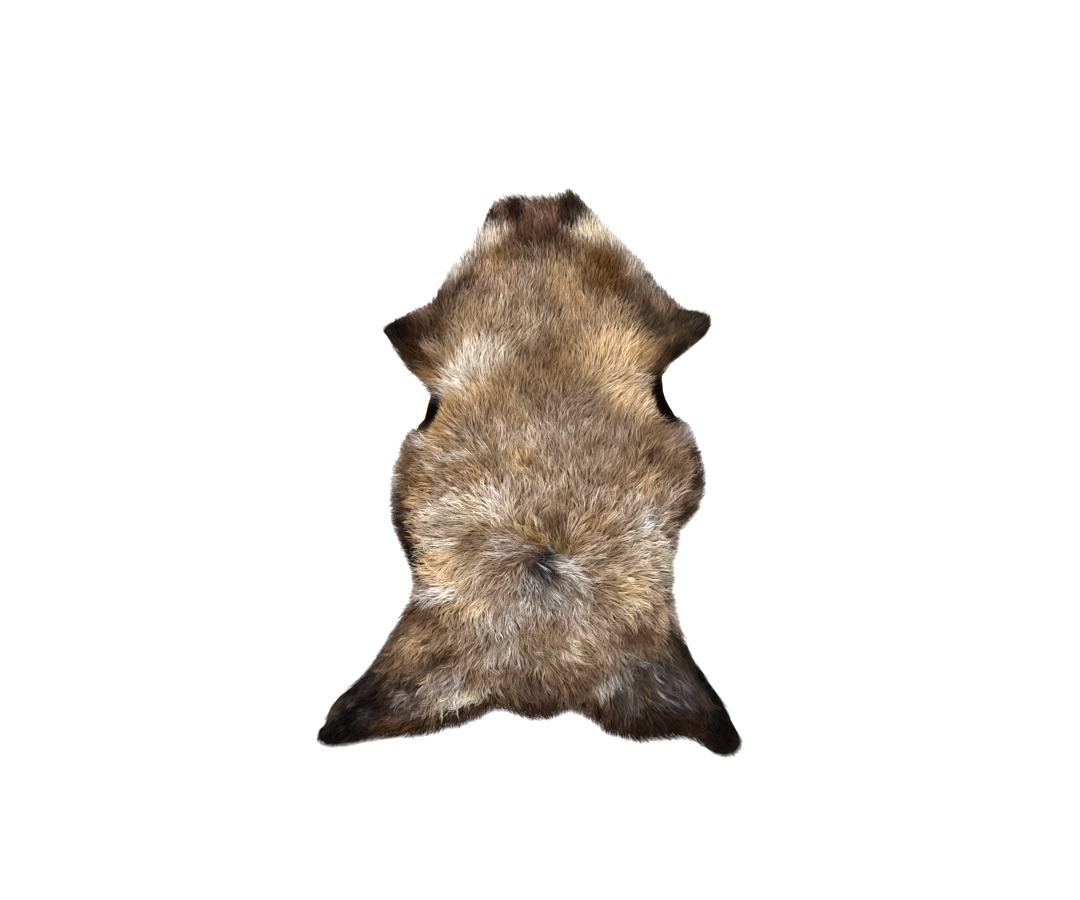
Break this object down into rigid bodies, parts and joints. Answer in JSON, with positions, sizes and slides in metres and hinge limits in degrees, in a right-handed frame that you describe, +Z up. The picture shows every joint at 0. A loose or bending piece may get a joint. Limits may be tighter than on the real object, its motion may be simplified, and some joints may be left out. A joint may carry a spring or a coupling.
{
  "type": "sheepskin",
  "caption": "Natural sheepskin lying flat with the wool up: tanned hide with neck, legs and tail edge, mottled brown, cream and grey fleece, a soft cover for floor or seat.",
  "frame": {"origin": "on the floor under the middle of the whole skin, the centre of its box at the underside", "axes": "+Z up through the wool, +Y along the back to the neck, +X to the right of someone who stands at the hind legs"},
  "size_m": [0.764, 1.0564, 0.0407],
  "materials": {
    "wool": "combed natural wool, matt, mottled brown, cream, grey and black",
    "hide": "tanned hide with a napped flesh side, matt"
  },
  "bodies": {
    "root": {"sheepskin": "wool"}
  },
  "joints": []
}
